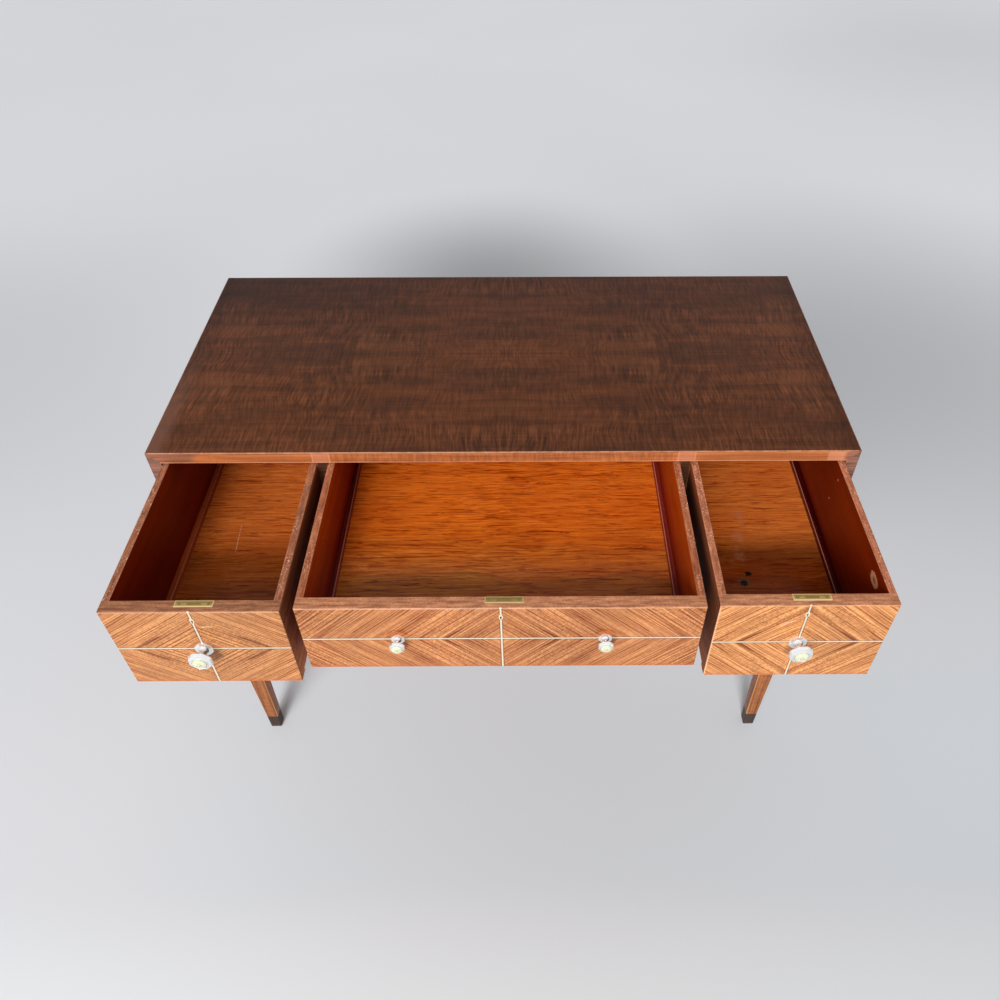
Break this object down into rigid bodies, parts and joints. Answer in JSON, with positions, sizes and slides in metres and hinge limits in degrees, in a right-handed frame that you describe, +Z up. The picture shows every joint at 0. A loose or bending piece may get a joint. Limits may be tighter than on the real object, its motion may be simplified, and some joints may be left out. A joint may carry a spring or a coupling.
{
  "type": "writing desk",
  "caption": "Writing desk with a mitred waterfall case on tapered legs, inset dovetailed drawers, metal stringing, eight-sided knobs and half-mortise locks.",
  "frame": {"origin": "on the floor, at the middle of the space that the desk takes with its drawers drawn out as at rest", "axes": "+X to the right of somebody facing the front, +Y from front to back, +Z up"},
  "size_m": [1.067, 0.8246, 0.768],
  "materials": {
    "top_wood": "curly veneer, glossy dark red-brown polish",
    "case_wood": "veneer, satin red-brown polish",
    "divider_wood": "veneered edges, satin",
    "bay_wood": "plain, satin",
    "back_wood": "plain, matt",
    "runner_wood": "plain hardwood, matt",
    "leg_wood": "satin polish",
    "tip_wood": "dark stain, satin",
    "tenon_wood": "plain",
    "fastener_steel": "bright zinc",
    "front_veneer": "diamond-matched ribbon veneer, satin",
    "drawer_side_wood": "red-brown, satin",
    "drawer_back_wood": "red-brown, satin",
    "drawer_bottom_wood": "glossy orange-brown varnish",
    "slip_wood": "red-brown, satin",
    "stringing_metal": "polished and worn",
    "lock_brass": "aged, satin",
    "bolt_brass": "dull",
    "knob_chrome": "polished",
    "knob_disc": "pale, glossy",
    "screw_steel": "turned"
  },
  "bodies": {
    "case": {"desk_top": "top_wood", "case_side_left": "case_wood", "case_side_right": "case_wood", "divider_left": "divider_wood", "divider_right": "divider_wood", "bay_bottom_left": "bay_wood", "bay_bottom_centre": "bay_wood", "bay_bottom_right": "bay_wood", "case_back": "back_wood", "drawer_runners": "runner_wood", "drawer_stops": "runner_wood", "leg_front_left": "leg_wood", "leg_front_right": "leg_wood", "leg_back_left": "leg_wood", "leg_back_right": "leg_wood", "foot_tips": "tip_wood", "leg_bolts": "fastener_steel", "leg_tenons": "tenon_wood"},
    "drawer_left": {"left_drawer_front": "front_veneer", "left_drawer_back": "drawer_back_wood", "left_drawer_bottom": "drawer_bottom_wood", "left_drawer_side_left": "drawer_side_wood", "left_drawer_side_right": "drawer_side_wood", "left_drawer_slips": "slip_wood", "left_inlay": "stringing_metal", "left_escutcheon": "stringing_metal", "left_lock_case": "lock_brass", "left_knob_plate": "knob_chrome", "left_knob_cup": "knob_chrome", "left_knob_disc": "knob_disc", "left_knob_screw": "screw_steel"},
    "drawer_centre": {"centre_drawer_front": "front_veneer", "centre_drawer_back": "drawer_back_wood", "centre_drawer_bottom": "drawer_bottom_wood", "centre_drawer_side_left": "drawer_side_wood", "centre_drawer_side_right": "drawer_side_wood", "centre_drawer_slips": "slip_wood", "centre_inlay": "stringing_metal", "centre_escutcheon": "stringing_metal", "centre_lock_case": "lock_brass", "centre_knob_plate": "knob_chrome", "centre_knob_cup": "knob_chrome", "centre_knob_disc": "knob_disc", "centre_knob_screw": "screw_steel"},
    "drawer_right": {"right_drawer_front": "front_veneer", "right_drawer_back": "drawer_back_wood", "right_drawer_bottom": "drawer_bottom_wood", "right_drawer_side_left": "drawer_side_wood", "right_drawer_side_right": "drawer_side_wood", "right_drawer_slips": "slip_wood", "right_inlay": "stringing_metal", "right_escutcheon": "stringing_metal", "right_lock_case": "lock_brass", "right_knob_plate": "knob_chrome", "right_knob_cup": "knob_chrome", "right_knob_disc": "knob_disc", "right_knob_screw": "screw_steel"},
    "lock_bolt_left": {"left_lock_bolt": "bolt_brass"},
    "lock_bolt_centre": {"centre_lock_bolt": "bolt_brass"},
    "lock_bolt_right": {"right_lock_bolt": "bolt_brass"}
  },
  "joints": [
    {"name": "drawer_left_slide", "type": "slide", "parent": "case", "child": "drawer_left", "axis": [0, -1, 0], "range_m": [-0.282, 0.08]},
    {"name": "drawer_centre_slide", "type": "slide", "parent": "case", "child": "drawer_centre", "axis": [0, -1, 0], "range_m": [-0.278, 0.08]},
    {"name": "drawer_right_slide", "type": "slide", "parent": "case", "child": "drawer_right", "axis": [0, -1, 0], "range_m": [-0.276, 0.08]},
    {"name": "lock_bolt_left_slide", "type": "slide", "parent": "drawer_left", "child": "lock_bolt_left", "axis": [0, 0, 1], "range_m": [0, 0.009]},
    {"name": "lock_bolt_centre_slide", "type": "slide", "parent": "drawer_centre", "child": "lock_bolt_centre", "axis": [0, 0, 1], "range_m": [0, 0.009]},
    {"name": "lock_bolt_right_slide", "type": "slide", "parent": "drawer_right", "child": "lock_bolt_right", "axis": [0, 0, 1], "range_m": [0, 0.009]}
  ]
}
